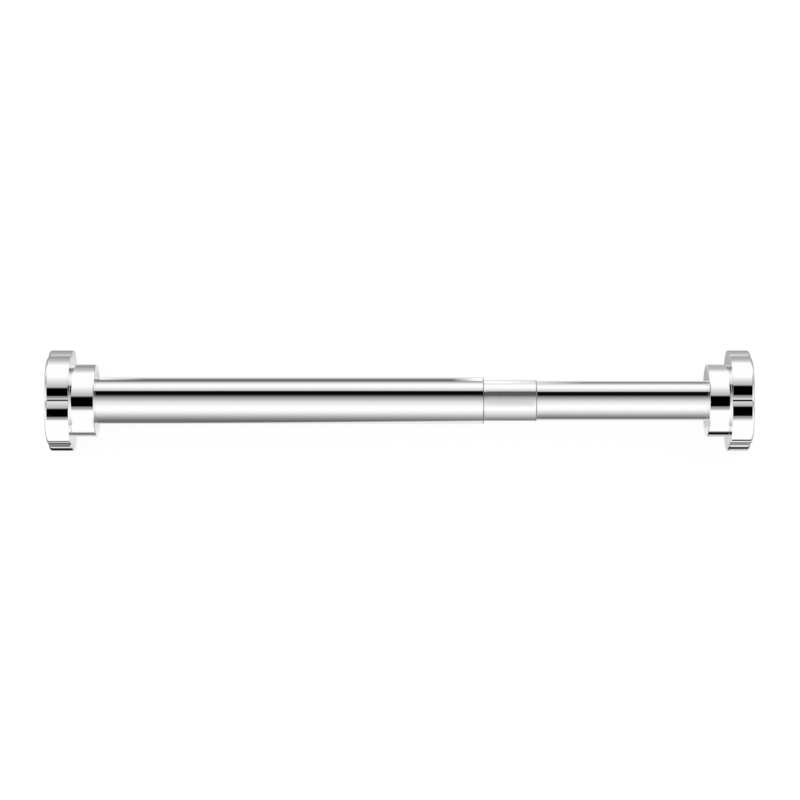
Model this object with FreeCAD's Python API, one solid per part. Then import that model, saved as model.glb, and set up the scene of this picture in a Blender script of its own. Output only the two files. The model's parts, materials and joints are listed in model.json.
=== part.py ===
"""Spring tension rod: a telescopic chrome rod that holds itself between two walls.

The rod lies along +X. The origin is on the rod's axis, in the face of the left
wall pad. The rod lies as it comes to rest, on two lobes of each end cap, with
one lobe straight up. All sizes are in millimetres.
"""
import FreeCAD
import Part
import math
import os

from FreeCAD import Vector

# Tubes: the inner tube takes its width from the bore that it runs in
OUTER_TUBE_D = 25.4
OUTER_TUBE_WALL = 0.8
OUTER_TUBE_LENGTH = 226.8
TELESCOPE_GAP = 1.15
INNER_TUBE_WALL = 0.7
INNER_TUBE_LENGTH = 198.0
INNER_TUBE_EXPOSED = 91.9
TUBE_EDGE_ROUND = 0.3

# Plastic sleeve in the mouth of the outer tube
SLEEVE_WALL = 0.34
SLEEVE_EXPOSED = 28.5
SLEEVE_INSERTED = 14.0
SLEEVE_END_BEVEL = 0.25

# End caps: a five-lobed grip wheel and a round hub in one moulding
LOBES = 5
LOBE_RADIUS = 18.0
LOBE_OFFSET = 9.65
VALLEY_ROUND = 2.5
LEFT_WHEEL_THICKNESS = 12.9
LEFT_HUB_LENGTH = 12.8
RIGHT_WHEEL_THICKNESS = 11.8
RIGHT_HUB_LENGTH = 11.5
WHEEL_WALL_EDGE_ROUND = 1.3
WHEEL_ROD_EDGE_ROUND = 0.3
HUB_D = 39.0
HUB_EDGE_ROUND = 0.5
HUB_ROOT_ROUND = 0.5
SOCKET_MOUTH_BEVEL = 0.25
CAP_FLOOR = 2.7
POCKET_D = 8.0
POCKET_FLOOR = 2.2

# Wall pads
PAD_THICKNESS = 2.0
PAD_PROUD = 0.3
PAD_INSET = 1.6
PAD_EDGE_ROUND = 0.35
PAD_GROOVE_WIDTH = 1.2
PAD_GROOVE_DEPTH = 0.4
PAD_GROOVE_STEP = 3.6
PAD_GROOVES = 4

# Cap screws and their washers
SCREW_SHANK_D = 4.0
SCREW_LENGTH = 16.0
SCREW_HEAD_D = 7.6
SCREW_HEAD_HEIGHT = 2.3
SCREW_HEAD_ROOM = 0.2
CROSS_WIDTH = 1.1
CROSS_SPAN = 4.4
CROSS_DEPTH = 1.4
WASHER_D = 9.6
WASHER_THICKNESS = 0.8
WASHER_SEAT_PLAY = 0.6

# Plugs in the outer ends of the tubes
PLUG_LENGTH = 16.0
PLUG_LEAD_BEVEL = 0.8

# Pressure spring
SPRING_PRESSED_LENGTH = 21.0
SPRING_TRAVEL = 15.0
SPRING_BORE_GAP = 2.1
SPRING_WIRE_D = 2.0
SPRING_PITCH = 6.2
SPRING_PILOT_LENGTH = 5.0

# Spindle: a lead screw with two flats that keep it from turning
SPINDLE_D = 9.0
SPINDLE_ACROSS_FLATS = 7.2
SPINDLE_HEAD_GAP = 1.4
SPINDLE_HEAD_THICKNESS = 3.0
GUIDE_THICKNESS = 9.0
GUIDE_BEVEL = 0.8
STOP_WASHER_GAP = 2.05
STOP_WASHER_THICKNESS = 2.0
STOP_SCREW_D = 3.2
STOP_SCREW_LENGTH = 10.0
STOP_SCREW_HEAD_D = 6.4
STOP_SCREW_HEAD_HEIGHT = 2.2

# Nut plug in the inner end of the inner tube, and the ring that it turns in
NUT_INSERTED = 18.0
NUT_SHOULDER = 1.5
NUT_FLANGE = 2.0
RING_WALL = 2.78
RING_WIDTH = 6.3
RING_SLIT = 2.0
EXTENSION = 40.0

# Clearances
PRESS_GAP = 0.03
SLIDE_GAP = 0.06
SEAT_GAP = 0.05
LOOSE_GAP = 0.15
END_GAP = 0.2
STOP_MARGIN = 1.0

# Radii and places that follow from the sizes above
OUTER_TUBE_R = OUTER_TUBE_D / 2
OUTER_BORE_R = OUTER_TUBE_R - OUTER_TUBE_WALL
INNER_TUBE_R = OUTER_BORE_R - TELESCOPE_GAP
INNER_BORE_R = INNER_TUBE_R - INNER_TUBE_WALL
SLEEVE_BORE_R = INNER_TUBE_R + SLIDE_GAP
SLEEVE_R = SLEEVE_BORE_R + SLEEVE_WALL
SPRING_COIL_R = OUTER_BORE_R - SPRING_BORE_GAP - SPRING_WIRE_D / 2
SPRING_INSIDE_R = SPRING_COIL_R - SPRING_WIRE_D / 2
SPRING_LENGTH = SPRING_PRESSED_LENGTH + SPRING_TRAVEL
RING_R = OUTER_BORE_R - SLIDE_GAP
NUT_NECK_R = RING_R - RING_WALL - SLIDE_GAP
RIGHT_CAP_LENGTH = RIGHT_WHEEL_THICKNESS + RIGHT_HUB_LENGTH

CAP_BACK_X = PAD_PROUD
SCREW_START_X = PAD_THICKNESS + SCREW_HEAD_ROOM
SCREW_SEAT_X = SCREW_START_X + SCREW_HEAD_HEIGHT
CAP_FLOOR_X = SCREW_SEAT_X + WASHER_THICKNESS
SOCKET_FLOOR_X = CAP_FLOOR_X + CAP_FLOOR
MOUTH_X = SOCKET_FLOOR_X + OUTER_TUBE_LENGTH
SLEEVE_END_X = MOUTH_X + SLEEVE_EXPOSED
RIGHT_HUB_X = SLEEVE_END_X + INNER_TUBE_EXPOSED
TOTAL_LENGTH = RIGHT_HUB_X + RIGHT_CAP_LENGTH + PAD_PROUD
INNER_TUBE_END_X = TOTAL_LENGTH - SOCKET_FLOOR_X
INNER_TUBE_START_X = INNER_TUBE_END_X - INNER_TUBE_LENGTH

SPRING_START_X = SOCKET_FLOOR_X + PLUG_LENGTH
SPRING_END_X = SPRING_START_X + SPRING_LENGTH
GUIDE_X = SPRING_END_X + SPINDLE_HEAD_THICKNESS + END_GAP
NUT_END_X = INNER_TUBE_START_X + NUT_INSERTED
SPINDLE_END_X = NUT_END_X + EXTENSION + STOP_MARGIN

AXIS = Vector(1, 0, 0)


def disc(x, radius, length):
    """A plain round solid about the rod's axis, from x towards +X."""
    return Part.makeCylinder(radius, length, Vector(x, 0, 0), AXIS)


def ring(x, outside, inside, length):
    """A disc with a round hole through it."""
    return disc(x, outside, length).cut(disc(x, inside, length))


def turned(points):
    """The solid that a closed outline of (x, radius) points makes about the axis."""
    outline = [Vector(x, 0, r) for x, r in points]
    face = Part.Face(Part.makePolygon(outline + outline[:1]))
    return face.revolve(Vector(0, 0, 0), AXIS, 360)


def around(x, radius, angle):
    """A point at a place along the rod and an angle from +Y towards +Z."""
    turn = math.radians(angle)
    return Vector(x, radius * math.cos(turn), radius * math.sin(turn))


def edges_at(shape, x):
    """The edges of a shape that lie wholly in the plane at x."""
    found = []
    for edge in shape.Edges:
        box = edge.BoundBox
        if abs(box.XMin - x) < 1e-4 and abs(box.XMax - x) < 1e-4:
            found.append(edge)
    return found


def rounded(shape, radius, *places):
    """The shape with the edges in the planes at the given places rounded."""
    edges = [edge for x in places for edge in edges_at(shape, x)]
    return shape.makeFillet(radius, edges)


def bevelled(shape, size, *places):
    """The shape with the edges in the planes at the given places bevelled."""
    edges = [edge for x in places for edge in edges_at(shape, x)]
    return shape.makeChamfer(size, edges)


def other_end(shape):
    """The same piece turned round to the right end of the rod."""
    copy = shape.copy()
    copy.rotate(Vector(TOTAL_LENGTH / 2, 0, 0), Vector(0, 0, 1), 180)
    return copy


def lobed_face(x, inset):
    """The outline of the grip wheel, set in by a distance, as a face at x.

    Each lobe is an arc about its own centre. Between two lobes lies a hollow
    arc that is tangent to both. One lobe points straight up.
    """
    lobe_r = LOBE_RADIUS - inset
    hollow_r = VALLEY_ROUND + inset
    half = math.radians(180 / LOBES)
    along = LOBE_OFFSET * math.cos(half)
    across = LOBE_OFFSET * math.sin(half)
    reach = along + math.sqrt((lobe_r + hollow_r) ** 2 - across**2)
    edges = []
    for lobe in range(LOBES):
        up = 90 + lobe * 360 / LOBES
        centre = around(x, LOBE_OFFSET, up)
        crest = around(x, LOBE_OFFSET + lobe_r, up)
        joins = []
        for side in (-1, 1):
            hollow = around(x, reach, up + side * 180 / LOBES)
            joins.append(centre + (hollow - centre) * (lobe_r / (lobe_r + hollow_r)))
        valley = up + 180 / LOBES
        after = around(x, LOBE_OFFSET, up + 360 / LOBES)
        hollow = around(x, reach, valley)
        landing = after + (hollow - after) * (lobe_r / (lobe_r + hollow_r))
        bottom = around(x, reach - hollow_r, valley)
        edges.append(Part.Arc(joins[0], crest, joins[1]).toShape())
        edges.append(Part.Arc(joins[1], bottom, landing).toShape())
    return Part.Face(Part.Wire(edges))


def grip_wheel(thickness):
    """The lobed wheel, with a softer edge on the wall side."""
    wheel = lobed_face(CAP_BACK_X, 0).extrude(AXIS * thickness)
    wheel = rounded(wheel, WHEEL_WALL_EDGE_ROUND, CAP_BACK_X)
    return rounded(wheel, WHEEL_ROD_EDGE_ROUND, CAP_BACK_X + thickness)


def hub(root, length):
    """The round hub, flared into the wheel and rounded at its rod end."""
    end = root + length
    radius = HUB_D / 2
    flare = HUB_ROOT_ROUND
    soft = HUB_EDGE_ROUND
    diagonal = math.sqrt(0.5)
    corners = [
        Vector(root - 1, 0, 0),
        Vector(root - 1, 0, radius + flare),
        Vector(root, 0, radius + flare),
        Vector(root + flare, 0, radius),
        Vector(end - soft, 0, radius),
        Vector(end, 0, radius - soft),
        Vector(end, 0, 0),
    ]
    hollow = flare * (1 - diagonal)
    full = soft * diagonal
    edges = [
        Part.LineSegment(corners[0], corners[1]).toShape(),
        Part.LineSegment(corners[1], corners[2]).toShape(),
        Part.Arc(
            corners[2], Vector(root + hollow, 0, radius + hollow), corners[3]
        ).toShape(),
        Part.LineSegment(corners[3], corners[4]).toShape(),
        Part.Arc(
            corners[4],
            Vector(end - soft + full, 0, radius - soft + full),
            corners[5],
        ).toShape(),
        Part.LineSegment(corners[5], corners[6]).toShape(),
        Part.LineSegment(corners[6], corners[0]).toShape(),
    ]
    return Part.Face(Part.Wire(edges)).revolve(Vector(0, 0, 0), AXIS, 360)


def cap(tube_r, thickness, hub_length):
    """An end cap for the left end: wheel, hub, tube socket and moulded hollows."""
    root = CAP_BACK_X + thickness
    end = root + hub_length
    body = grip_wheel(thickness).fuse(hub(root, hub_length)).removeSplitter()
    socket_r = tube_r + SEAT_GAP
    body = body.cut(disc(SOCKET_FLOOR_X, socket_r, end - SOCKET_FLOOR_X))
    bevel_x = end - SOCKET_MOUTH_BEVEL
    wide = socket_r + SOCKET_MOUTH_BEVEL
    body = body.cut(turned([(bevel_x, 0), (bevel_x, socket_r), (end, wide), (end, 0)]))
    body = body.cut(lobed_face(0, PAD_INSET - SEAT_GAP).extrude(AXIS * PAD_THICKNESS))
    body = body.cut(disc(0, WASHER_D / 2 + WASHER_SEAT_PLAY, CAP_FLOOR_X))
    body = body.cut(disc(0, SCREW_SHANK_D / 2 + LOOSE_GAP, SOCKET_FLOOR_X))
    pocket_reach = (tube_r + LOBE_OFFSET + LOBE_RADIUS) / 2
    for lobe in range(LOBES):
        centre = around(0, pocket_reach, 90 + lobe * 360 / LOBES)
        pocket = Part.makeCylinder(POCKET_D / 2, root - POCKET_FLOOR, centre, AXIS)
        body = body.cut(pocket)
    return body


def pad():
    """A rubber wall pad that stands a little proud, with ring grooves for grip."""
    body = lobed_face(0, PAD_INSET).extrude(AXIS * PAD_THICKNESS)
    body = rounded(body, PAD_EDGE_ROUND, 0)
    for groove in range(1, PAD_GROOVES + 1):
        middle = groove * PAD_GROOVE_STEP
        half = PAD_GROOVE_WIDTH / 2
        body = body.cut(ring(0, middle + half, middle - half, PAD_GROOVE_DEPTH))
    return body


def cross_recess(x, span, width, depth):
    """The cross-shaped hollow of a screw head that faces the left wall."""
    long_way = Part.makeBox(depth, span, width, Vector(x, -span / 2, -width / 2))
    other_way = Part.makeBox(depth, width, span, Vector(x, -width / 2, -span / 2))
    return long_way.fuse(other_way)


def cap_screw():
    """The pan-headed screw that draws the cap onto the plug in the tube."""
    head = disc(SCREW_START_X, SCREW_HEAD_D / 2, SCREW_HEAD_HEIGHT)
    head = rounded(head, SCREW_HEAD_HEIGHT / 2, SCREW_START_X)
    head = head.cut(cross_recess(SCREW_START_X, CROSS_SPAN, CROSS_WIDTH, CROSS_DEPTH))
    shank = disc(SCREW_SEAT_X, SCREW_SHANK_D / 2, SCREW_LENGTH)
    shank = bevelled(shank, SCREW_SHANK_D / 5, SCREW_SEAT_X + SCREW_LENGTH)
    return head.fuse(shank).removeSplitter()


def cap_washer():
    """The flat washer under the screw head."""
    hole_r = SCREW_SHANK_D / 2 + LOOSE_GAP
    return ring(SCREW_SEAT_X, WASHER_D / 2, hole_r, WASHER_THICKNESS)


def tube_plug(bore_r):
    """The plug pressed into a tube's outer end, with the hole for the cap screw."""
    body = disc(SOCKET_FLOOR_X, bore_r - PRESS_GAP, PLUG_LENGTH)
    body = bevelled(body, PLUG_LEAD_BEVEL, SOCKET_FLOOR_X + PLUG_LENGTH)
    hole_end = SCREW_SEAT_X + SCREW_LENGTH + END_GAP
    hole_r = SCREW_SHANK_D / 2 + PRESS_GAP
    return body.cut(disc(SOCKET_FLOOR_X, hole_r, hole_end - SOCKET_FLOOR_X))


def left_tube_plug():
    """The left plug, with a pilot that centres the spring."""
    pilot_r = SPRING_INSIDE_R - LOOSE_GAP
    pilot = disc(SPRING_START_X, pilot_r, SPRING_PILOT_LENGTH)
    pilot = bevelled(pilot, PLUG_LEAD_BEVEL, SPRING_START_X + SPRING_PILOT_LENGTH)
    return tube_plug(OUTER_BORE_R).fuse(pilot)


def outer_tube():
    """The wide tube, with its mouth edges rounded."""
    tube = ring(SOCKET_FLOOR_X, OUTER_TUBE_R, OUTER_BORE_R, OUTER_TUBE_LENGTH)
    return rounded(tube, TUBE_EDGE_ROUND, MOUTH_X)


def inner_tube():
    """The narrow tube, with plain cut ends."""
    return ring(INNER_TUBE_START_X, INNER_TUBE_R, INNER_BORE_R, INNER_TUBE_LENGTH)


def mouth_sleeve():
    """The sleeve that closes the step between the tubes and guides the narrow one."""
    skirt = OUTER_BORE_R - PRESS_GAP
    start = MOUTH_X - SLEEVE_INSERTED
    return turned(
        [
            (start, SLEEVE_BORE_R),
            (start, skirt),
            (MOUTH_X, skirt),
            (MOUTH_X, SLEEVE_R),
            (SLEEVE_END_X - SLEEVE_END_BEVEL, SLEEVE_R),
            (SLEEVE_END_X, SLEEVE_R - SLEEVE_END_BEVEL),
            (SLEEVE_END_X, SLEEVE_BORE_R),
        ]
    )


def compression_spring():
    """A round-wire spring about the axis, with its ends ground flat."""
    lead_in = SPRING_WIRE_D
    height = SPRING_LENGTH + 2 * lead_in
    helix = Part.makeHelix(SPRING_PITCH, height, SPRING_COIL_R)
    start = helix.Edges[0].valueAt(helix.Edges[0].FirstParameter)
    way = helix.Edges[0].tangentAt(helix.Edges[0].FirstParameter)
    wire = Part.Wire(Part.makeCircle(SPRING_WIRE_D / 2, start, way))
    coil = Part.Wire(helix.Edges).makePipeShell([wire], True, True)
    coil.rotate(Vector(0, 0, 0), Vector(0, 1, 0), 90)
    coil.translate(Vector(SPRING_START_X - lead_in, 0, 0))
    return coil.common(disc(SPRING_START_X, 2 * SPRING_COIL_R, SPRING_LENGTH))


def flat_sided(x, radius, across_flats, length):
    """A round bar with two flats, one above and one below."""
    corner = Vector(x, -radius, -across_flats / 2)
    return disc(x, radius, length).common(Part.makeBox(length, 2 * radius, across_flats, corner))


def spindle():
    """The lead screw at its mean thread size, with its head and spring pilot."""
    head_x = SPRING_END_X
    pilot_x = head_x - SPRING_PILOT_LENGTH
    pilot = disc(pilot_x, SPRING_INSIDE_R - LOOSE_GAP, SPRING_PILOT_LENGTH)
    pilot = bevelled(pilot, PLUG_LEAD_BEVEL, pilot_x)
    head = disc(head_x, OUTER_BORE_R - SPINDLE_HEAD_GAP, SPINDLE_HEAD_THICKNESS)
    length = SPINDLE_END_X - head_x
    shank = flat_sided(head_x, SPINDLE_D / 2, SPINDLE_ACROSS_FLATS, length)
    body = pilot.fuse([head, shank]).removeSplitter()
    depth = STOP_SCREW_LENGTH + END_GAP
    return body.cut(disc(SPINDLE_END_X - depth, STOP_SCREW_D / 2 + PRESS_GAP, depth))


def spindle_guide():
    """The block fixed in the wide tube that lets the spindle slide but not turn."""
    body = disc(GUIDE_X, OUTER_BORE_R - PRESS_GAP, GUIDE_THICKNESS)
    body = bevelled(body, GUIDE_BEVEL, GUIDE_X, GUIDE_X + GUIDE_THICKNESS)
    hole_r = SPINDLE_D / 2 + SLIDE_GAP
    across_flats = SPINDLE_ACROSS_FLATS + 2 * SLIDE_GAP
    return body.cut(flat_sided(GUIDE_X, hole_r, across_flats, GUIDE_THICKNESS))


def spindle_stop_washer():
    """The washer that keeps the nut from running off the spindle."""
    outside = INNER_BORE_R - STOP_WASHER_GAP
    hole_r = STOP_SCREW_D / 2 + LOOSE_GAP
    return ring(SPINDLE_END_X, outside, hole_r, STOP_WASHER_THICKNESS)


def spindle_stop_screw():
    """The small screw that holds the stop washer."""
    seat = SPINDLE_END_X + STOP_WASHER_THICKNESS
    head = disc(seat, STOP_SCREW_HEAD_D / 2, STOP_SCREW_HEAD_HEIGHT)
    head = rounded(head, STOP_SCREW_HEAD_HEIGHT / 2, seat + STOP_SCREW_HEAD_HEIGHT)
    reach = STOP_SCREW_LENGTH + STOP_WASHER_THICKNESS
    shank = disc(seat - reach, STOP_SCREW_D / 2, reach)
    return head.fuse(shank).removeSplitter()


def nut_plug():
    """The nut fixed in the narrow tube: shoulder, neck for the ring, and flange."""
    neck_length = RING_WIDTH + 2 * LOOSE_GAP
    shoulder_x = INNER_TUBE_START_X - NUT_SHOULDER
    neck_x = shoulder_x - neck_length
    flange_x = neck_x - NUT_FLANGE
    body = disc(INNER_TUBE_START_X, INNER_BORE_R - PRESS_GAP, NUT_INSERTED)
    body = bevelled(body, PLUG_LEAD_BEVEL, NUT_END_X)
    shoulder = disc(shoulder_x, INNER_TUBE_R, NUT_SHOULDER)
    neck = disc(neck_x, NUT_NECK_R, neck_length)
    flange = disc(flange_x, INNER_TUBE_R, NUT_FLANGE)
    body = body.fuse([shoulder, neck, flange]).removeSplitter()
    return body.cut(disc(flange_x, SPINDLE_D / 2 + SLIDE_GAP, NUT_END_X - flange_x))


def guide_ring():
    """The slit ring on the nut's neck: it slides in the wide tube without turning."""
    x = INNER_TUBE_START_X - NUT_SHOULDER - LOOSE_GAP - RING_WIDTH
    body = ring(x, RING_R, NUT_NECK_R + SLIDE_GAP, RING_WIDTH)
    slit = Part.makeBox(RING_WIDTH, RING_SLIT, RING_R, Vector(x, -RING_SLIT / 2, 0))
    return body.cut(slit)


def pieces():
    """Every piece of the rod, by name."""
    left_cap = cap(OUTER_TUBE_R, LEFT_WHEEL_THICKNESS, LEFT_HUB_LENGTH)
    right_cap = cap(INNER_TUBE_R, RIGHT_WHEEL_THICKNESS, RIGHT_HUB_LENGTH)
    screw = cap_screw()
    washer = cap_washer()
    wall_pad = pad()
    return {
        "outer_tube": outer_tube(),
        "inner_tube": inner_tube(),
        "mouth_sleeve": mouth_sleeve(),
        "left_cap": left_cap,
        "left_pad": wall_pad,
        "left_cap_screw": screw,
        "left_screw_washer": washer,
        "left_tube_plug": left_tube_plug(),
        "right_cap": other_end(right_cap),
        "right_pad": other_end(wall_pad),
        "right_cap_screw": other_end(screw),
        "right_screw_washer": other_end(washer),
        "right_tube_plug": other_end(tube_plug(INNER_BORE_R)),
        "compression_spring": compression_spring(),
        "spindle": spindle(),
        "spindle_guide": spindle_guide(),
        "spindle_stop_washer": spindle_stop_washer(),
        "spindle_stop_screw": spindle_stop_screw(),
        "nut_plug": nut_plug(),
        "guide_ring": guide_ring(),
    }


def main():
    os.makedirs("parts", exist_ok=True)
    for name, shape in pieces().items():
        shape.exportStep(f"parts/{name}.step")
        print(f"{name:22s} valid={shape.isValid()} solids={len(shape.Solids)} volume={shape.Volume:.1f}")


main()
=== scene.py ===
"""A chromed spring tension rod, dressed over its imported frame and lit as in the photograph."""
import json
import math

import bpy
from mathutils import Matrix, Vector


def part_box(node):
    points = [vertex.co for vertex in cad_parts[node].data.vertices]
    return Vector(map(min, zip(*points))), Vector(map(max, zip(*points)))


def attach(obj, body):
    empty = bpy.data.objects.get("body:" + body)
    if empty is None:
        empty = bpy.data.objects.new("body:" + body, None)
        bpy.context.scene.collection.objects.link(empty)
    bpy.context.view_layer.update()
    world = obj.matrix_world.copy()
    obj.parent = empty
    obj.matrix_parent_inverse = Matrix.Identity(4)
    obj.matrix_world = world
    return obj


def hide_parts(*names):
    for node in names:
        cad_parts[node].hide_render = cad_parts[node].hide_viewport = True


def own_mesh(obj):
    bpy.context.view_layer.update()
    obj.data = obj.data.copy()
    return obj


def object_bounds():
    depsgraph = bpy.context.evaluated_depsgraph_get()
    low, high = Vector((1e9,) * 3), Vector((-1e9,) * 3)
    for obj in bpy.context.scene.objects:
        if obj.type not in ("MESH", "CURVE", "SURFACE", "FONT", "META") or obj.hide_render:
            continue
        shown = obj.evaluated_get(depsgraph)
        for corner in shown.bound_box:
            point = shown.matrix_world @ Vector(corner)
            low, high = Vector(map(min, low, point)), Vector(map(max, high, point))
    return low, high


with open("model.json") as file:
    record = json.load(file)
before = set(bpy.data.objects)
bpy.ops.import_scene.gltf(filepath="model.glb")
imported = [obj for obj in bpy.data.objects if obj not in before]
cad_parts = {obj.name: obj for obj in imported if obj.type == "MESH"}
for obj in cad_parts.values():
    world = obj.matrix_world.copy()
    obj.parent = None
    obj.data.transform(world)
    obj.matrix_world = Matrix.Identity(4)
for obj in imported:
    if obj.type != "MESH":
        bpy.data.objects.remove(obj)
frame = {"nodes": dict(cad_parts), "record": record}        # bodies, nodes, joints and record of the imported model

CAD_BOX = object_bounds()

# The rod's own sizes, in metres, where the frame doesn't give them
MM = 0.001
LOBES = 5
LOBE_RADIUS = 18.0 * MM
LOBE_OFFSET = 9.65 * MM
VALLEY_ROUND = 2.5 * MM
LEFT_WHEEL_THICKNESS = 12.9 * MM
RIGHT_WHEEL_THICKNESS = 11.8 * MM
WHEEL_WALL_EDGE_ROUND = 1.3 * MM
WHEEL_ROD_EDGE_ROUND = 0.15 * MM
HUB_RADIUS = 19.5 * MM
HUB_EDGE_ROUND = 0.3 * MM
HUB_ROOT_ROUND = 0.15 * MM
SOCKET_MOUTH_BEVEL = 0.25 * MM
SOCKET_PLAY = 0.05 * MM
CAP_FLOOR = 2.7 * MM
SCREW_SEAT_RADIUS = 5.4 * MM
SCREW_HOLE_RADIUS = 2.15 * MM
PAD_INSET = 1.6 * MM
PAD_PLAY = 0.05 * MM
PAD_EDGE_ROUND = 0.35 * MM
PAD_GROOVE_STEP = 3.6 * MM
PAD_GROOVE_WIDTH = 1.2 * MM
PAD_GROOVE_DEPTH = 0.4 * MM
PAD_GROOVES = 4
OUTER_TUBE_WALL = 0.8 * MM
INNER_TUBE_WALL = 0.7 * MM
OUTER_TUBE_LIP = 0.5 * MM
INNER_TUBE_LIP = 0.1 * MM
SLEEVE_WALL = 0.34 * MM
SLEEVE_PLAY = 0.06 * MM
SLEEVE_BEVEL = 0.28 * MM
BEVEL_SLOPE = math.sqrt(0.5)     # each part of the normal on a 45 degree bevel

AROUND = 300             # points round a turned form or a lobed outline
VALLEY_DENSITY = 3       # how much closer the points stand in a valley than on a lobe
ROUND_STEPS = 8          # steps across a rounded edge

# The camera, as the photograph was taken
PHOTO_SIDE = 800
PHOTO_SCALE = 1850.0     # pixels a metre at the rod's axis
PHOTO_CENTRE = (399.5, 400.6)    # where the rod's middle lies in the photograph
FOCAL_PIXELS = 2950.0
SENSOR = 36.0
CAMERA_ELEVATION = 54.0


def box_of(node):
    """The lowest and highest corner of a node, as vectors."""
    low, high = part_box(node)
    return Vector(low), Vector(high)


def in_scene(name, data):
    """A new object in the scene, made of a mesh, a lamp or a camera."""
    made = bpy.data.objects.new(name, data)
    bpy.context.scene.collection.objects.link(made)
    return made


LEFT_CAP = box_of("left_cap")
RIGHT_CAP = box_of("right_cap")
LEFT_PAD = box_of("left_pad")
OUTER_TUBE = box_of("outer_tube")
INNER_TUBE = box_of("inner_tube")
SLEEVE = box_of("mouth_sleeve")
OUTER_RADIUS = OUTER_TUBE[1].z
INNER_RADIUS = INNER_TUBE[1].z
ROD_LENGTH = box_of("right_pad")[1].x
MIDDLE = Vector((ROD_LENGTH / 2, 0, 0))
FLOOR_Z = CAD_BOX[0][2]
MOUTH_X = OUTER_TUBE[1].x


# Outlines round the axis: each gives a ring of (y, z) points with their outward normals

def circle_ring(radius):
    """Points and normals of a circle about the rod's axis."""
    ring = []
    for step in range(AROUND):
        turn = math.radians(90) + 2 * math.pi * step / AROUND
        way = Vector((math.cos(turn), math.sin(turn)))
        ring.append((way * radius, way))
    return ring


def lobed_ring(inset=0.0):
    """Points and normals of the grip wheel's outline, set in by a distance."""
    lobe_r = LOBE_RADIUS - inset
    hollow_r = VALLEY_ROUND + inset
    half = math.pi / LOBES
    along = LOBE_OFFSET * math.cos(half)
    across = LOBE_OFFSET * math.sin(half)
    reach = along + math.sqrt((lobe_r + hollow_r) ** 2 - across**2)
    centre_to_hollow = Vector((reach * math.cos(half) - LOBE_OFFSET, reach * math.sin(half)))
    spread = math.atan2(centre_to_hollow.y, centre_to_hollow.x)
    turn_in_hollow = 2 * (spread - half)
    on_lobe_length = LOBE_RADIUS * 2 * spread
    share = on_lobe_length / (on_lobe_length + VALLEY_ROUND * turn_in_hollow * VALLEY_DENSITY)
    per_lobe = AROUND // LOBES
    on_lobe = round(per_lobe * share)
    on_hollow = per_lobe - on_lobe
    ring = []
    for lobe in range(LOBES):
        up = math.radians(90) + 2 * math.pi * lobe / LOBES
        centre = Vector((math.cos(up), math.sin(up))) * LOBE_OFFSET
        for step in range(on_lobe):
            turn = up - spread + 2 * spread * step / on_lobe
            way = Vector((math.cos(turn), math.sin(turn)))
            ring.append((centre + way * lobe_r, way))
        valley = up + half
        hollow = Vector((math.cos(valley), math.sin(valley))) * reach
        for step in range(on_hollow):
            turn = up + spread - turn_in_hollow * step / on_hollow
            way = Vector((math.cos(turn), math.sin(turn)))
            ring.append((hollow - way * hollow_r, way))
    return ring


class Skin:
    """A closed or open surface made of rings, with exact normals on each band."""

    def __init__(self):
        self.points = []
        self.rings = []
        self.bands = []

    def ring(self, x, outline):
        """Adds a ring at x and returns its number."""
        first = len(self.points)
        self.points.extend(Vector((x, p.x, p.y)) for p, _ in outline)
        self.rings.append((first, [way for _, way in outline]))
        return len(self.rings) - 1

    def band(self, a, b, lean_a, lean_b):
        """Joins two rings. A lean is the normal as (along the rod, outward)."""
        self.bands.append((a, b, lean_a, lean_b))

    def line(self, stations, closed=False):
        """Rings joined in order. A station is (x, outline, lean before, lean after)."""
        numbers = [self.ring(x, outline) for x, outline, _, _ in stations]
        last = len(stations) if closed else len(stations) - 1
        for i in range(last):
            j = (i + 1) % len(stations)
            self.band(numbers[i], numbers[j], stations[i][3], stations[j][2])
        return numbers

    def faces_of_band(self, band):
        """The faces of one band, each with its corners' normals, facing outwards."""
        a, b, lean_a, lean_b = band
        start_a, ways_a = self.rings[a]
        start_b, ways_b = self.rings[b]
        count = len(ways_a)
        for i in range(count):
            j = (i + 1) % count
            corners = [
                (start_a + i, ways_a[i], lean_a), (start_b + i, ways_b[i], lean_b),
                (start_b + j, ways_b[j], lean_b), (start_a + j, ways_a[j], lean_a),
            ]
            spots = [self.points[number] for number, _, _ in corners]
            normals = [Vector((lean[0], way.x * lean[1], way.y * lean[1])) for _, way, lean in corners]
            facing = (spots[2] - spots[0]).cross(spots[3] - spots[1])
            if facing.dot(normals[0] + normals[2]) < 0:
                corners.reverse()
                normals.reverse()
            yield tuple(number for number, _, _ in corners), normals

    def build(self, name, caps=()):
        """Makes the mesh object. caps lists (ring, lean) pairs closed by one flat face."""
        faces, normals = [], []
        for band in self.bands:
            for face, leans in self.faces_of_band(band):
                faces.append(face)
                normals.extend(leans)
        for number, along in caps:
            start, ways = self.rings[number]
            order = range(len(ways)) if along > 0 else reversed(range(len(ways)))
            faces.append(tuple(start + i for i in order))
            normals.extend([(along, 0, 0)] * len(ways))
        mesh = bpy.data.meshes.new(name)
        mesh.from_pydata(self.points, [], faces)
        mesh.polygons.foreach_set("use_smooth", [True] * len(mesh.polygons))
        mesh.normals_split_custom_set(normals)
        mesh.update()
        return in_scene(name, mesh)


def corner(x, outline, before, after):
    """A sharp station."""
    return (x, outline, before, after)


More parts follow.
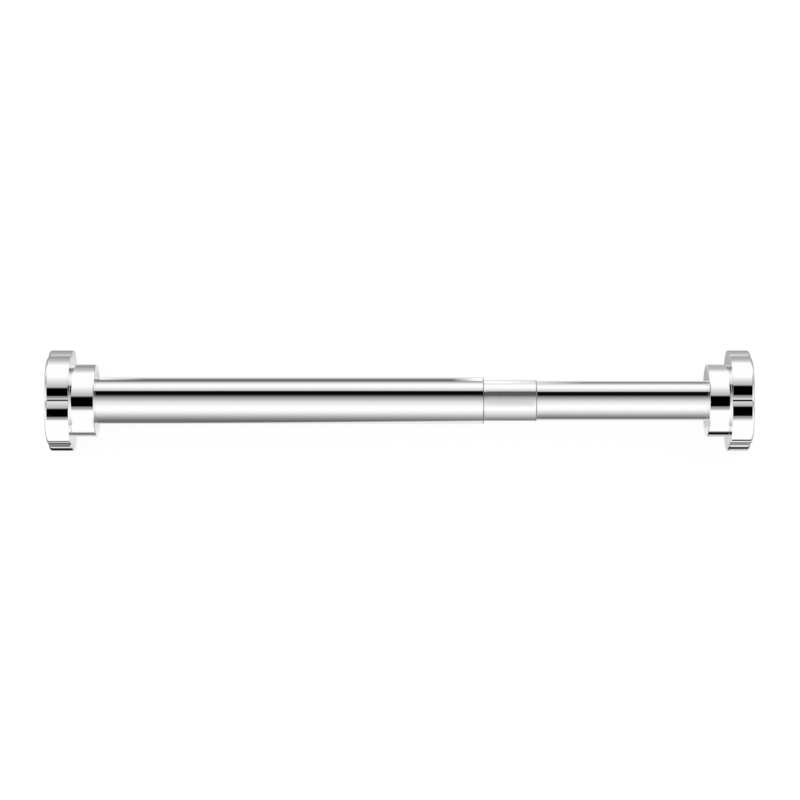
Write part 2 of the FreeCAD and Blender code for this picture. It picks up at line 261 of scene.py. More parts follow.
def rounded_edge(outline_at, x, inset, radius, start, sweep, hollow=False):
    """Stations round an edge: a quarter turn of the normal from the angle start.

    The angles are in degrees from the outward direction towards +X. The centre
    of the round lies at x and inset, and outline_at gives the outline there.
    """
    stations = []
    side = -1 if hollow else 1
    for step in range(ROUND_STEPS + 1):
        turn = math.radians(start + sweep * step / ROUND_STEPS)
        lean = (math.sin(turn), math.cos(turn))
        place = x + side * radius * lean[0]
        out = inset - side * radius * lean[1]
        stations.append((place, outline_at(out), lean, lean))
    return stations


def circle_at(radius):
    """Outlines set in from a circle of that radius."""
    return lambda inset: circle_ring(radius - inset)


UP = (0, 1)
DOWN = (0, -1)
FORTH = (1, 0)
BACK = (-1, 0)


def turned_tube(name, start, end, radius, wall, edge):
    """A tube with both outer edges rounded."""
    outside = circle_at(radius)
    bore = circle_ring(radius - wall)
    stations = [corner(start, bore, DOWN, BACK)]
    stations += rounded_edge(outside, start + edge, edge, edge, -90, 90)
    stations += rounded_edge(outside, end - edge, edge, edge, 0, 90)
    stations += [corner(end, bore, FORTH, DOWN)]
    skin = Skin()
    skin.line(stations, closed=True)
    return skin.build(name)


def sleeve_piece(name):
    """The sleeve: a skirt inside the wide tube's mouth and a thin exposed length."""
    low, high = SLEEVE
    skirt = circle_ring(high.z)
    bore_r = INNER_RADIUS + SLEEVE_PLAY
    shown_r = bore_r + SLEEVE_WALL
    shown = circle_ring(shown_r)
    bore = circle_ring(bore_r)
    bevel = (BEVEL_SLOPE, BEVEL_SLOPE)
    bevel_ring = circle_ring(shown_r - SLEEVE_BEVEL)
    stations = [
        corner(low.x, bore, DOWN, BACK),
        corner(low.x, skirt, BACK, UP),
        corner(MOUTH_X, skirt, UP, FORTH),
        corner(MOUTH_X, shown, FORTH, UP),
        corner(high.x - SLEEVE_BEVEL, shown, UP, bevel),
        corner(high.x, bevel_ring, bevel, FORTH),
        corner(high.x, bore, FORTH, DOWN),
    ]
    skin = Skin()
    skin.line(stations, closed=True)
    return skin.build(name)


def cap_piece(name, tube_radius, thickness, end):
    """A cap at the left end: hub, flare, lobed wheel, pad recess and tube socket."""
    back = LEFT_CAP[0].x
    root = back + thickness
    recess_x = LEFT_PAD[1].x
    socket = tube_radius + SOCKET_PLAY
    floor_x = OUTER_TUBE[0].x
    hub_at = circle_at(HUB_RADIUS)
    rim = PAD_INSET - PAD_PLAY
    mouth = (BEVEL_SLOPE, -BEVEL_SLOPE)
    stations = [
        corner(recess_x, lobed_ring(rim), DOWN, BACK),
        corner(recess_x, circle_ring(SCREW_SEAT_RADIUS), BACK, DOWN),
        corner(floor_x - CAP_FLOOR, circle_ring(SCREW_SEAT_RADIUS), DOWN, BACK),
        corner(floor_x - CAP_FLOOR, circle_ring(SCREW_HOLE_RADIUS), BACK, DOWN),
        corner(floor_x, circle_ring(SCREW_HOLE_RADIUS), DOWN, FORTH),
        corner(floor_x, circle_ring(socket), FORTH, DOWN),
        corner(end - SOCKET_MOUTH_BEVEL, circle_ring(socket), DOWN, mouth),
        corner(end, circle_ring(socket + SOCKET_MOUTH_BEVEL), mouth, FORTH),
    ]
    stations += rounded_edge(hub_at, end - HUB_EDGE_ROUND, HUB_EDGE_ROUND, HUB_EDGE_ROUND, 90, -90)
    stations += rounded_edge(
        hub_at, root + HUB_ROOT_ROUND, -HUB_ROOT_ROUND, HUB_ROOT_ROUND, 0, 90, hollow=True
    )
    edge = WHEEL_ROD_EDGE_ROUND
    stations += rounded_edge(lobed_ring, root - edge, edge, edge, 90, -90)
    edge = WHEEL_WALL_EDGE_ROUND
    stations += rounded_edge(lobed_ring, back + edge, edge, edge, 0, -90)
    stations += [corner(back, lobed_ring(rim), BACK, DOWN)]
    skin = Skin()
    skin.line(stations, closed=True)
    return skin.build(name)


def pad_piece(name):
    """The wall pad at the left end, with ring grooves in its face."""
    face = LEFT_PAD[0].x
    behind = LEFT_PAD[1].x
    edge = PAD_EDGE_ROUND

    def outline(inset):
        return lobed_ring(PAD_INSET + inset)

    stations = [corner(behind, outline(0), FORTH, UP)]
    stations += rounded_edge(outline, face + edge, edge, edge, 0, -90)
    for groove in range(PAD_GROOVES, 0, -1):
        outer = circle_ring(groove * PAD_GROOVE_STEP + PAD_GROOVE_WIDTH / 2)
        inner = circle_ring(groove * PAD_GROOVE_STEP - PAD_GROOVE_WIDTH / 2)
        stations += [
            corner(face, outer, BACK, DOWN),
            corner(face + PAD_GROOVE_DEPTH, outer, DOWN, BACK),
            corner(face + PAD_GROOVE_DEPTH, inner, BACK, UP),
            corner(face, inner, UP, BACK),
        ]
    skin = Skin()
    numbers = skin.line(stations)
    return skin.build(name, caps=[(numbers[0], 1), (numbers[-1], -1)])


def to_right_end(piece):
    """Turns a piece made for the left end round to the right end."""
    for vertex in piece.data.vertices:
        vertex.co.x = ROD_LENGTH - vertex.co.x
        vertex.co.y = -vertex.co.y
    return piece


# Shader helpers

class Wire:
    """A node's output. Sums and products of wires and numbers add Math nodes."""

    def __init__(self, graph, socket):
        self.graph = graph
        self.socket = socket

    def maths(self, operation, first, second):
        return self.graph.node("Math", {"operation": operation}, {0: first, 1: second})

    def __add__(self, other):
        return self.maths("ADD", self, other)

    __radd__ = __add__

    def __sub__(self, other):
        return self.maths("SUBTRACT", self, other)

    def __rsub__(self, other):
        return self.maths("SUBTRACT", other, self)

    def __mul__(self, other):
        return self.maths("MULTIPLY", self, other)

    __rmul__ = __mul__

    def __truediv__(self, other):
        return self.maths("DIVIDE", self, other)


class Graph:
    """The nodes of one material or world."""

    def __init__(self, owner):
        owner.use_nodes = True
        self.owner = owner
        self.tree = owner.node_tree
        self.tree.nodes.clear()

    def node(self, kind, settings=None, sockets=None, output=0):
        """Adds a node: its settings first, then the values or links of its sockets."""
        made = self.tree.nodes.new("ShaderNode" + kind)
        for key, value in (settings or {}).items():
            if key == "stops":
                set_stops(made.color_ramp, value)
            else:
                setattr(made, key, value)
        for key, value in (sockets or {}).items():
            if isinstance(value, Wire):
                self.tree.links.new(value.socket, made.inputs[key])
            else:
                made.inputs[key].default_value = value
        return Wire(self, made.outputs[output]) if made.outputs else made

    def surface(self, **sockets):
        """A Principled surface as the material's result."""
        named = {key.replace("_", " ").title().replace("Ior", "IOR"): v for key, v in sockets.items()}
        return finished(self, self.node("BsdfPrincipled", None, named))


def set_stops(ramp, stops):
    """Fills a ramp with (position, grey) or (position, colour) stops."""
    while len(ramp.elements) > 1:
        ramp.elements.remove(ramp.elements[-1])
    for number, (position, tone) in enumerate(stops):
        element = ramp.elements[0] if number == 0 else ramp.elements.new(position)
        element.position = position
        colour = (tone, tone, tone) if isinstance(tone, (int, float)) else tone
        element.color = (*colour, 1)


def new_finish(name):
    """An empty material's graph."""
    return Graph(bpy.data.materials.new(name))


def stretched_noise(graph, stretch, scale, detail=2.0):
    """Noise over the object, drawn out by a different factor on each axis."""
    place = graph.node("TexCoord", output="Object")
    drawn = graph.node("Mapping", None, {"Vector": place, "Scale": stretch})
    return graph.node("TexNoise", None, {"Vector": drawn, "Scale": scale, "Detail": detail})


def clamped(graph, value):
    """The value held between 0 and 1."""
    return graph.node("Math", {"operation": "MULTIPLY", "use_clamp": True}, {0: value, 1: 1.0})


def mixed(graph, factor, first, second):
    """A colour between two, by a factor. Inputs 6 and 7 are the mix's two colours."""
    return graph.node("Mix", {"data_type": "RGBA"}, {"Factor": factor, 6: first, 7: second}, output=2)


def grain_bump(graph, height, strength, distance=0.1 * MM):
    """A fine relief for a surface's normals."""
    return graph.node("Bump", None, {"Strength": strength, "Distance": distance, "Height": height})


def part_of(graph, place, axis):
    """One coordinate of a place."""
    return graph.node("SeparateXYZ", None, {"Vector": place}, output=axis)


def emission(graph, colour, strength=1.0):
    """A surface that shines evenly."""
    return graph.node("Emission", None, {"Color": colour, "Strength": strength})


def finished(graph, result):
    """The material or world with this shader as its result."""
    kind = "OutputWorld" if isinstance(graph.owner, bpy.types.World) else "OutputMaterial"
    graph.node(kind, None, {"Surface": result})
    return graph.owner


def shining_through(graph, tone):
    """A material that adds its light and hides nothing behind it."""
    clear = graph.node("BsdfTransparent")
    return finished(graph, graph.node("AddShader", None, {0: emission(graph, tone), 1: clear}))


# Finishes of the rod

EVEN = (1, 1, 1)
LIP_WIDTH = 0.6 * MM         # the duller edge at the end of the wide tube and of the sleeve, painted darker grey as shade at each joint
EDGE_BLEND = 0.1 * MM
BRIGHT_METAL = (0.93, 0.935, 0.94, 1)


def beyond_radius(graph, place):
    """1 on the wide tube, 0 on the narrow one, by the distance from the axis."""
    flat = graph.node("VectorMath", {"operation": "MULTIPLY"}, {0: place, 1: (0, 1, 1)})
    radius = graph.node("VectorMath", {"operation": "LENGTH"}, {0: flat}, output="Value")
    return clamped(graph, (radius - (INNER_RADIUS + SLEEVE_WALL)) / EDGE_BLEND)


def lip_at(graph, place, end):
    """1 along the last stretch before a tube's or the sleeve's end."""
    return clamped(graph, (part_of(graph, place, "X") - (end - LIP_WIDTH)) / EDGE_BLEND)


def chromed_tube_finish():
    """Bright chrome on drawn steel: faint draw lines, and a duller bare edge at the mouth, painted darker grey as
    shade at the joint with the sleeve.
    """
    graph = new_finish("chromed_tube")
    lines = stretched_noise(graph, (6, 900, 900), 1.0)
    haze = stretched_noise(graph, EVEN, 40.0)
    place = graph.node("TexCoord", output="Object")
    # lip: duller edge at the mouth, with its darker grey painted shade at the joint
    lip = lip_at(graph, place, MOUTH_X) * beyond_radius(graph, place)
    return graph.surface(
        base_color=mixed(graph, lip, BRIGHT_METAL, (0.36, 0.36, 0.365, 1)),
        metallic=1.0,
        roughness=0.006 + lines * 0.008 + haze * 0.008 + lip * 0.25,
        normal=grain_bump(graph, lines, 0.006),
    )


def chromed_cap_finish():
    """Chrome plating on moulded plastic: a soft ripple instead of draw lines."""
    graph = new_finish("chromed_cap")
    ripple = stretched_noise(graph, EVEN, 120.0)
    haze = stretched_noise(graph, EVEN, 30.0)
    return graph.surface(
        base_color=(0.94, 0.945, 0.95, 1),
        metallic=1.0,
        roughness=0.006 + haze * 0.012,
        normal=grain_bump(graph, ripple, 0.008, 0.2 * MM),
    )


def sleeve_finish():
    """Glossy pale plastic with a pearly metal sheen, and a duller end painted darker grey as shade at the joint
    with the narrow tube.
    """
    graph = new_finish("sleeve_plastic")
    grain = stretched_noise(graph, EVEN, 400.0)
    cloud = stretched_noise(graph, EVEN, 60.0)
    # lip: the sleeve's duller end, with its darker grey painted shade at the joint
    lip = lip_at(graph, graph.node("TexCoord", output="Object"), SLEEVE[1].x)
    return graph.surface(
        base_color=mixed(graph, lip, BRIGHT_METAL, (0.42, 0.42, 0.425, 1)),
        metallic=0.92 + cloud * 0.03,
        roughness=0.03 + grain * 0.03 + lip * 0.25,
        normal=grain_bump(graph, grain, 0.01),
    )


def pad_finish():
    """Pale rubber with a fine matt grain."""
    graph = new_finish("pad_rubber")
    grain = stretched_noise(graph, EVEN, 1800.0, 4.0)
    cloud = stretched_noise(graph, EVEN, 90.0)
    colour = graph.node("ValToRGB", {"stops": [(0.3, 0.74), (0.7, 0.82)]}, {"Fac": cloud})
    return graph.surface(
        base_color=colour,
        roughness=0.62 + grain * 0.2,
        normal=grain_bump(graph, grain, 0.35, 0.2 * MM),
    )


def moulded_plastic_finish(name, dark, light):
    """Plain moulded plastic with a slight cloud and satin grain."""
    graph = new_finish(name)
    grain = stretched_noise(graph, EVEN, 1200.0)
    cloud = stretched_noise(graph, EVEN, 80.0)
    colour = graph.node("ValToRGB", {"stops": [(0.35, dark), (0.65, light)]}, {"Fac": cloud})
    bump = grain_bump(graph, grain, 0.12)
    return graph.surface(base_color=colour, roughness=0.32 + grain * 0.2, normal=bump)


def zinc_finish():
    """Zinc-plated steel: satin, with fine turned lines."""
    graph = new_finish("zinc_steel")
    lines = stretched_noise(graph, (2500, 60, 60), 1.0)
    cloud = stretched_noise(graph, EVEN, 150.0)
    colour = graph.node(
        "ValToRGB", {"stops": [(0.3, (0.58, 0.60, 0.63)), (0.7, (0.70, 0.71, 0.73))]}, {"Fac": cloud}
    )
    bump = grain_bump(graph, lines, 0.2)
    return graph.surface(base_color=colour, metallic=1.0, roughness=0.22 + lines * 0.2, normal=bump)


def spring_finish():
    """Dark oiled spring wire."""
    graph = new_finish("spring_steel")
    cloud = stretched_noise(graph, EVEN, 300.0)
    colour = graph.node(
        "ValToRGB", {"stops": [(0.3, (0.20, 0.20, 0.21)), (0.7, (0.32, 0.31, 0.30))]}, {"Fac": cloud}
    )
    return graph.surface(base_color=colour, metallic=1.0, roughness=0.28 + cloud * 0.16)


FINISHES = {
    "chromed_tube": chromed_tube_finish(),
    "chromed_cap": chromed_cap_finish(),
    "sleeve_plastic": sleeve_finish(),
    "pad_rubber": pad_finish(),
    "white_plastic": moulded_plastic_finish("white_plastic", 0.72, 0.80),
    "ring_plastic": moulded_plastic_finish("ring_plastic", 0.03, 0.05),
    "zinc_steel": zinc_finish(),
    "spring_steel": spring_finish(),
}


def dress(piece, finish, body, *nodes):
    """Gives a new piece its finish, its body and the nodes that it stands for."""
    piece.data.materials.append(FINISHES[finish])
    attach(piece, body)
    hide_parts(*nodes)


def dress_frame_nodes():
    """Gives each node of the frame the finish of its material slot."""
    for part in frame["record"]["subparts"]:
        mesh = frame["nodes"][part["node"]].data
        finish = FINISHES[part["material_slot"]]
        if mesh.materials:
            mesh.materials[0] = finish
        else:
            mesh.materials.append(finish)


def make_visible_pieces():
    """The fine meshes of what shows from outside."""
    wide = turned_tube(
        "wide_tube_skin", OUTER_TUBE[0].x, MOUTH_X, OUTER_RADIUS, OUTER_TUBE_WALL, OUTER_TUBE_LIP
    )
    dress(wide, "chromed_tube", "wide_tube", "outer_tube")
    narrow = turned_tube(
        "narrow_tube_skin", INNER_TUBE[0].x, INNER_TUBE[1].x, INNER_RADIUS, INNER_TUBE_WALL,
        INNER_TUBE_LIP,
    )
    dress(narrow, "chromed_tube", "narrow_tube", "inner_tube")
    dress(sleeve_piece("sleeve_skin"), "sleeve_plastic", "wide_tube", "mouth_sleeve")
    left_cap = cap_piece("left_cap_skin", OUTER_RADIUS, LEFT_WHEEL_THICKNESS, LEFT_CAP[1].x)
    dress(left_cap, "chromed_cap", "wide_tube", "left_cap")
    right_end = ROD_LENGTH - RIGHT_CAP[0].x
    right_cap = cap_piece("right_cap_skin", INNER_RADIUS, RIGHT_WHEEL_THICKNESS, right_end)
    right_cap = to_right_end(right_cap)
    dress(right_cap, "chromed_cap", "narrow_tube", "right_cap")
    dress(pad_piece("left_pad_skin"), "pad_rubber", "wide_tube", "left_pad")
    right_pad = to_right_end(pad_piece("right_pad_skin"))
    dress(right_pad, "pad_rubber", "narrow_tube", "right_pad")


def make_spring():
    """The pressure spring, copied unchanged from the frame's spring. In the real rod its coils close up as the
    narrow end is pushed in.
    """
    node = frame["nodes"]["compression_spring"]
    low, high = box_of("compression_spring")
    spring = in_scene("pressure_spring", node.data.copy())
    spring.data.materials.clear()
    spring.matrix_world = node.matrix_world
    dress(spring, "spring_steel", "wide_tube", "compression_spring")
    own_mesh(spring)
    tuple(low)


dress_frame_nodes()
make_visible_pieces()
make_spring()

# Stage: floor, reflectors, lamps and world

WHITE = (1, 1, 1, 1)
TUBE_REFLECTOR_RADIUS = 0.5
CAP_REFLECTOR_RADIUS = 0.499
BACKING_RADIUS = 0.501
REFLECTOR_STEPS = 90
REFLECTOR_REACH = 1.6        # from the rod's middle to either end
ZONE_BLEND = 0.5 * MM
HIGH_FROM = 72               # above this angle a zone may begin at another place
HIGH_BLEND = 4

# Brightness by the angle round the rod, from the front (0) over the top to the back (180)
TUBE_FRONT = [(0, 1.0), (10, 1.07), (22, 1.06), (45, 0.84), (54, 0.65), (62, 0.46), (70, 0.33)]
SLEEVE_FRONT = [
    (0, 1.06), (10, 1.08), (16, 1.00), (24, 0.88), (33, 0.73), (43, 0.65), (54, 0.58), (62, 0.43),
    (70, 0.33),
]
LEFT_HUB_REAR = [(146, 1.05), (151, 1.03), (156, 0.82), (167, 0.56), (180, 0.44)]
LEFT_WHEEL_REAR = [(146, 1.05), (160, 0.78), (172, 0.56), (180, 0.50)]
RIGHT_HUB_REAR = [(146, 1.05), (155, 1.04), (161, 0.88), (167, 0.69), (173, 0.55), (180, 0.48)]
RIGHT_WHEEL_REAR = [(146, 1.05), (156, 1.04), (161, 0.94), (166, 0.76), (172, 0.61), (180, 0.52)]
BLACK_LINE = [
    (79, 0.062), (83.5, 0.004), (101, 0.0), (101.8, 0.45), (105, 0.55), (110, 0.77), (116, 0.86),
]
TUBE_REAR = [
    (126, 1.07), (140, 1.04), (147, 0.83), (155, 0.53), (163, 0.24), (172, 0.10), (180, 0.20),
]
OUTER_TONES = [
    (0, 1.0), (22, 1.05), (45, 0.88), (60, 0.72), (72, 0.52), (82, 0.32), (98, 0.30), (106, 0.60),
    (118, 0.95), (140, 1.04), (150, 0.80), (163, 0.45), (180, 0.35),
]


def tube_tones(front, shift, stretch):
    """A tube's zone. The shift moves the black line and the stretch widens what is behind."""
    tones = []
    for angle, tone in front + BLACK_LINE + TUBE_REAR:
        if angle < 90:
            moved = angle + shift * angle / 90
        else:
            moved = min(90 + shift + (angle - 90) * stretch, 180)
        tones.append((moved, tone))
    return tones


def cap_tones(dark_from, dark_to, rear):
    """A cap's zone: a black card between two angles, in a white surround."""
    return [
        (0, 1.05), (21, 1.05), (dark_from - 7, 0.38), (dark_from - 1, 0.27), (dark_from, 0.0),
        (dark_to, 0.0), (dark_to + 5, 0.50), (dark_to + 13, 0.62), (100, 1.05),
    ] + rear


WIDE_TUBE_TONES = tube_tones(TUBE_FRONT, 0.0, 1.0)
NARROW_TUBE_TONES = tube_tones(TUBE_FRONT, 2.6, 1.15)
SLEEVE_TONES = tube_tones(SLEEVE_FRONT, 2.6, 1.15)

# Where each zone begins from the rod's middle, how much further its high part begins, its tones
TUBE_ZONES = [(0.0594, 0.0, SLEEVE_TONES), (0.0948, 0.0, NARROW_TUBE_TONES)]
CAP_ZONES = [
    (-0.2475, 0.0, cap_tones(34.8, 59.5, LEFT_WHEEL_REAR)),
    (-0.2301, 0.0, cap_tones(35.8, 64.5, LEFT_HUB_REAR)),
    (-0.2130, -0.0010, WIDE_TUBE_TONES),
    *TUBE_ZONES,
    (0.2160, 0.0008, cap_tones(36.5, 66.7, RIGHT_HUB_REAR)),
    (0.2313, 0.0, cap_tones(38.0, 67.3, RIGHT_WHEEL_REAR)),
    (0.2475, 0.0, OUTER_TONES),
]


def angle_round_rod(graph):
    """The angle of a place round the rod, from 0 at the front to 1 at the back."""
    place = graph.node("NewGeometry", output="Position")
    ahead = part_of(graph, place, "Y") * -1.0
    turn = graph.node("Math", {"operation": "ARCTAN2"}, {0: part_of(graph, place, "Z"), 1: ahead})
    return turn / math.pi


def reflector_material(name, first_tones, zones):
    """A reflector with a zone for each of the rod's parts, whose brightness follows the angle."""
    graph = new_finish(name)
    place = graph.node("NewGeometry", output="Position")
    along = part_of(graph, place, "X") - MIDDLE.x
    turn = angle_round_rod(graph)
    high = clamped(graph, (turn * 180 - HIGH_FROM) / HIGH_BLEND)

    def zone(tones):
        stops = [(angle / 180, tone) for angle, tone in tones]
        return graph.node("ValToRGB", {"stops": stops}, {"Fac": turn})

    tone = zone(first_tones)
    for start, further, tones in zones:
        begun = clamped(graph, (along - (high * further + start)) / ZONE_BLEND)
        tone = mixed(graph, begun, tone, zone(tones))
    return shining_through(graph, tone)


def flat_mesh(name, points, faces, material):
    """A plain piece of the stage, of these faces."""
    mesh = bpy.data.meshes.new(name)
    mesh.from_pydata(points, [], faces)
    mesh.materials.append(material)
    return in_scene(name, mesh)


def only_in_reflections(piece):
    """A part of the stage that only glossy surfaces see."""
    piece.visible_camera = False
    piece.visible_diffuse = False
    piece.visible_shadow = False
    piece.visible_transmission = False
    piece.visible_volume_scatter = False


def half_drum(name, radius, material):
    """Half a drum over the rod, seen only by what reflects."""
    points, faces = [], []
    start = MIDDLE.x - REFLECTOR_REACH
    end = MIDDLE.x + REFLECTOR_REACH
    for step in range(REFLECTOR_STEPS + 1):
        turn = math.pi * step / REFLECTOR_STEPS
        across = -radius * math.cos(turn)
        height = radius * math.sin(turn)
        points += [(start, across, height), (end, across, height)]
    for step in range(REFLECTOR_STEPS):
        first = 2 * step
        faces.append((first, first + 1, first + 3, first + 2))
    drum = flat_mesh(name, points, faces, material)
    only_in_reflections(drum)
    return drum


def lights_only(drum, pieces):
    """Keeps a drum's light for these pieces. The others look through it."""
    lit = bpy.data.collections.new(drum.name + "_lights")
    for piece in pieces:
        lit.objects.link(piece)
    drum.light_linking.receiver_collection = lit


def make_reflectors(caps, others):
    """A drum for the caps, a drum for the tubes and the rest, and a black one behind both."""
    cap_light = reflector_material("cap_reflector", OUTER_TONES, CAP_ZONES)
    tube_light = reflector_material("tube_reflector", WIDE_TUBE_TONES, TUBE_ZONES)
    lights_only(half_drum("cap_reflector", CAP_REFLECTOR_RADIUS, cap_light), caps)
    lights_only(half_drum("tube_reflector", TUBE_REFLECTOR_RADIUS, tube_light), others)
    backing = new_finish("reflector_backing")
    black = finished(backing, emission(backing, (0, 0, 0, 1), 0.0))
    half_drum("reflector_backing", BACKING_RADIUS, black)


# Painted brightness of the floor as the chrome sees it, by the distance in front of the
# rod (negative) or behind it, in metres: a painted reflection, whose dark bands just in front of the rod are its
# painted shadow
FLOOR_SPAN = 0.4
TUBE_FLOOR = [
    (-0.40, 0.97), (-0.148, 0.81), (-0.100, 0.70), (-0.075, 0.59), (-0.058, 0.48), (-0.047, 0.38),
    (-0.032, 0.23), (-0.026, 0.165), (-0.0145, 0.16), (-0.0105, 0.60), (-0.007, 0.865),
    (0.0, 0.80), (0.012, 0.68), (0.036, 0.68), (0.044, 0.88), (0.063, 0.875), (0.15, 0.50),
    (0.40, 0.25),
]
LEFT_HUB_FLOOR = [
    (-0.40, 1.05), (-0.030, 1.05), (-0.0265, 0.16), (-0.020, 0.16), (-0.016, 0.75), (0.0, 0.85),
    (0.012, 0.82), (0.040, 0.82), (0.065, 0.48), (0.10, 0.34), (0.16, 0.33), (0.36, 0.38),
]
LEFT_WHEEL_FLOOR = [
    (-0.40, 1.05), (-0.0350, 1.05), (-0.0342, 0.03), (-0.0305, 0.03), (-0.0297, 1.0),
    (-0.0270, 1.0), (-0.0262, 0.0), (-0.0190, 0.0), (-0.0165, 0.75), (0.0, 0.85),
    (0.012, 0.82), (0.040, 0.82), (0.065, 0.50), (0.085, 0.38), (0.11, 0.34), (0.20, 0.39),
    (0.40, 0.47),
]
RIGHT_HUB_FLOOR = [
    (-0.40, 1.05), (-0.034, 1.05), (-0.0295, 0.0), (-0.0215, 0.0), (-0.0175, 0.65), (0.0, 0.70),
    (0.012, 0.45), (0.040, 0.45), (0.092, 0.55), (0.16, 0.45), (0.36, 0.52),
]
RIGHT_WHEEL_FLOOR = [
    (-0.40, 1.05), (-0.0425, 1.05), (-0.0415, 0.0), (-0.0351, 0.0), (-0.0345, 0.90),
    (-0.0312, 0.90), (-0.0304, 0.0), (-0.0245, 0.0), (-0.0220, 0.65), (0.0, 0.70),
    (0.012, 0.45), (0.040, 0.45), (0.065, 0.50), (0.097, 0.41), (0.12, 0.38), (0.17, 0.44),
    (0.225, 0.42), (0.40, 0.50),
]


def floor_tone(graph, tones, across):
    """A floor brightness that depends on the distance in front of the rod."""
    share = across / (2 * FLOOR_SPAN) + 0.5
    stops = [(y / (2 * FLOOR_SPAN) + 0.5, tone) for y, tone in tones]
    return graph.node("ValToRGB", {"stops": stops}, {"Fac": share})


FLOOR_WHITE = 0.93       # share of the floor's plain white that no shadow darkens
FLOOR_JOIN_BLEND = 0.0006

# The parts of the floor under the caps: side of the rod, where they begin, their tones
CAP_FLOORS = [
    (-1, 0.1625, LEFT_HUB_FLOOR), (-1, 0.1755, LEFT_WHEEL_FLOOR),
    (1, 0.1650, RIGHT_HUB_FLOOR), (1, 0.1767, RIGHT_WHEEL_FLOOR),
]
CAP_SPREAD = 0.104           # how much further out a part begins, a metre away from the rod
MOUTH_SPREAD = 0.0285
SLEEVE_SPREAD = 0.046
NEAR_REAR_SHIFT = 0.009      # just behind the rod the right cap's parts begin nearer
# The gleams are painted light: bright bands painted on the floor as the chrome sees it.
GLEAM_START = -0.134         # where the wide tube's gleam is measured, from the rod's middle
GLEAM_AT_START = -0.0117     # front edge of the bright floor under the wide tube
GLEAM_SLANT = -0.09
GLEAM_BLEND = 0.006
GLEAM_TONE = (0.90, 0.90, 0.90, 1)
NARROW_GLEAM = -0.0228       # and under the sleeve and the narrow tube
NARROW_GLEAM_BLEND = 0.0164
NARROW_GLEAM_SHARE = 0.8
SLEEVE_GLEAM_SHIFT = 0.0045
UNDER_ROD_BLEND = 0.004      # how soon the floor behind the rod takes over from that in front
NEAR_REAR_END = 0.08
NEAR_REAR_BLEND = 0.02
SLEEVE_SQUEEZE = 0.57        # how much nearer the floor's tones lie under the sleeve
TUBE_SQUEEZE = 0.17          # and under the narrow tube


def painted_floor_reflection(graph, cap_floors=()):
    """The painted reflection that the chrome sees in the floor: a painted shadow just in front of the rod, painted
    bright gleams, and other tones under each tube and each cap.
    """
    place = graph.node("NewGeometry", output="Position")
    along = part_of(graph, place, "X") - MIDDLE.x
    across = part_of(graph, place, "Y")
    away = graph.node("Math", {"operation": "ABSOLUTE"}, {0: across})

    def begun(distance, join, spread):
        return clamped(graph, (distance - away * spread - join) / FLOOR_JOIN_BLEND)

    past_mouth = begun(along, MOUTH_X - MIDDLE.x, MOUTH_SPREAD)
    past_sleeve = begun(along, SLEEVE[1].x - MIDDLE.x, SLEEVE_SPREAD)
    squeeze = 1.0 + past_mouth * SLEEVE_SQUEEZE - past_sleeve * (SLEEVE_SQUEEZE - TUBE_SQUEEZE)
    near = across * squeeze
    tone = floor_tone(graph, TUBE_FLOOR, near)
    slanted = (along - GLEAM_START) * GLEAM_SLANT + GLEAM_AT_START
    wide_gleam = clamped(graph, (across - slanted) / GLEAM_BLEND) * (1.0 - past_mouth)
    begins = (past_mouth - past_sleeve) * SLEEVE_GLEAM_SHIFT + NARROW_GLEAM
    narrow_gleam = clamped(graph, (near - begins) / NARROW_GLEAM_BLEND) * past_mouth
    ahead = clamped(graph, across / -UNDER_ROD_BLEND)
    gleam = (wide_gleam + narrow_gleam * NARROW_GLEAM_SHARE) * ahead
    tone = mixed(graph, gleam, tone, GLEAM_TONE)
    behind = clamped(graph, across / UNDER_ROD_BLEND)
    just_behind = behind * clamped(graph, (NEAR_REAR_END - across) / NEAR_REAR_BLEND)
    for side, join, tones in cap_floors:
        distance = along * side
        if side > 0:
            distance = distance + just_behind * NEAR_REAR_SHIFT
        tone = mixed(graph, begun(distance, join, CAP_SPREAD), tone, floor_tone(graph, tones, across))
    return tone


def floor_material():
    """A white floor that keeps a soft shadow, and that chrome sees as a painted reflection, with a painted shadow
    near the rod and painted bright bands.
    """
    graph = new_finish("studio_floor")
    camera_ray = graph.node("LightPath", output="Is Camera Ray")
    glossy_ray = graph.node("LightPath", output="Is Glossy Ray")
    tone = painted_floor_reflection(graph)
    plain = graph.node("BsdfDiffuse", None, {"Color": (0.95, 0.95, 0.95, 1)})
    white = emission(graph, WHITE)
    shown = graph.node("MixShader", None, {0: camera_ray * FLOOR_WHITE, 1: plain, 2: white})
    result = graph.node("MixShader", None, {0: glossy_ray, 1: shown, 2: emission(graph, tone)})
    return finished(graph, result)


CARD_Y = 0.10
CARD_STRENGTH = 1.05


def make_card(name, start, end, fades, top, top_fade):
    """A white card behind the rod, seen only in the chrome, with soft sides and top."""
    graph = new_finish(name)
    start, end = MIDDLE.x + start, MIDDLE.x + end
    place = graph.node("NewGeometry", output="Position")
    along = part_of(graph, place, "X")
    height = part_of(graph, place, "Z")
    shown = clamped(graph, (along - start) / fades[0]) * clamped(graph, (end - along) / fades[1])
    shown = shown * clamped(graph, (top - height) / top_fade)
    clear = graph.node("BsdfTransparent")
    white = emission(graph, WHITE, CARD_STRENGTH)
    result = graph.node("MixShader", None, {0: shown, 1: clear, 2: white})
    points = [(x, CARD_Y, z) for x, z in ((start, FLOOR_Z), (end, FLOOR_Z), (end, top), (start, top))]
    only_in_reflections(flat_mesh(name, points, [(0, 1, 2, 3)], finished(graph, result)))


FLOOR_REACH = 6.0
SHEET_LIFT = 0.05 * MM
SOFT_LIGHT = 0.7             # strength of the world for all but the camera and reflections


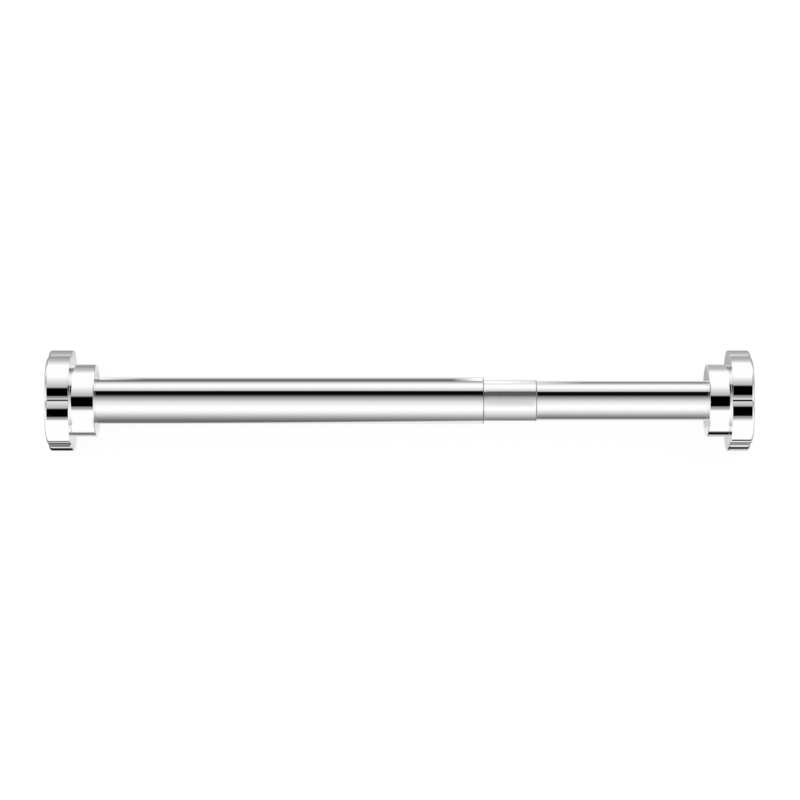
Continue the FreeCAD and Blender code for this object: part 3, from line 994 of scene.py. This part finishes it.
def cap_floor_material():
    """The floor as the caps see it: a painted reflection, with a painted shadow in front of the rod."""
    graph = new_finish("cap_floor")
    return shining_through(graph, painted_floor_reflection(graph, CAP_FLOORS))


def level_sheet(name, height, material):
    """A wide flat square at that height."""
    signs = [(-1, -1), (1, -1), (1, 1), (-1, 1)]
    points = [(x * FLOOR_REACH, y * FLOOR_REACH, height) for x, y in signs]
    return flat_mesh(name, points, [(0, 1, 2, 3)], material)


def make_floor(caps, others):
    """A large floor that the caps rest on, plain for the camera, and a sheet on it that the caps see instead; both
    show the chrome a painted reflection.
    """
    floor = level_sheet("studio_floor", FLOOR_Z, floor_material())
    lights_only(floor, others)
    sheet = level_sheet("cap_floor", FLOOR_Z + SHEET_LIFT, cap_floor_material())
    only_in_reflections(sheet)
    lights_only(sheet, caps)


def make_world():
    """White for the camera and for reflections, soft light for the rest."""
    world = bpy.data.worlds.new("studio")
    bpy.context.scene.world = world
    graph = Graph(world)
    camera_ray = graph.node("LightPath", output="Is Camera Ray")
    glossy_ray = graph.node("LightPath", output="Is Glossy Ray")
    soft = graph.node("Background", None, {"Color": WHITE, "Strength": SOFT_LIGHT})
    white = graph.node("Background", None, {"Color": WHITE, "Strength": 1.0})
    seen = graph.node("Math", {"operation": "MAXIMUM"}, {0: camera_ray, 1: glossy_ray})
    finished(graph, graph.node("MixShader", None, {0: seen, 1: soft, 2: white}))


def make_lamp(name, place, side, watts):
    """A large soft square lamp that points at the rod and leaves no reflection."""
    light = bpy.data.lights.new(name, "AREA")
    light.shape = "SQUARE"
    light.size = side
    light.energy = watts
    lamp = in_scene(name, light)
    lamp.location = place
    lamp.rotation_mode = "QUATERNION"
    lamp.rotation_quaternion = (MIDDLE - Vector(place)).to_track_quat("-Z", "Y")
    lamp.visible_glossy = False
    lamp.visible_camera = False


def make_camera():
    """A long lens above and in front, square to the rod."""
    turn = math.radians(CAMERA_ELEVATION)
    back = Vector((0, -math.cos(turn), math.sin(turn)))
    data = bpy.data.cameras.new("camera")
    data.sensor_width = SENSOR
    data.lens = SENSOR * FOCAL_PIXELS / PHOTO_SIDE
    data.shift_x = (PHOTO_SIDE / 2 - PHOTO_CENTRE[0]) / PHOTO_SIDE
    data.shift_y = (PHOTO_CENTRE[1] - PHOTO_SIDE / 2) / PHOTO_SIDE
    camera = in_scene("camera", data)
    camera.location = MIDDLE + back * (FOCAL_PIXELS / PHOTO_SCALE)
    camera.rotation_mode = "QUATERNION"
    camera.rotation_quaternion = (-back).to_track_quat("-Z", "Y")
    bpy.context.scene.camera = camera


# Which pieces each part of the stage lights
pieces = [piece for piece in bpy.context.scene.objects if piece.type == "MESH"]
caps = [piece for piece in pieces if "cap_skin" in piece.name]
others = [piece for piece in pieces if piece not in caps]

make_reflectors(caps, others)
make_card("mouth_card", 0.030, 0.105, (0.014, 0.045), 0.042, 0.012)
make_card("left_card", -0.172, -0.146, (0.001, 0.024), 0.028, 0.030)
make_floor(caps, others)
make_world()
make_lamp("key_lamp", (MIDDLE.x - 0.5, -0.9, 1.3), 1.0, 14.0)
make_lamp("fill_lamp", (MIDDLE.x + 0.8, 0.4, 1.2), 1.2, 8.0)
make_camera()
bpy.context.scene.view_settings.view_transform = "Standard"
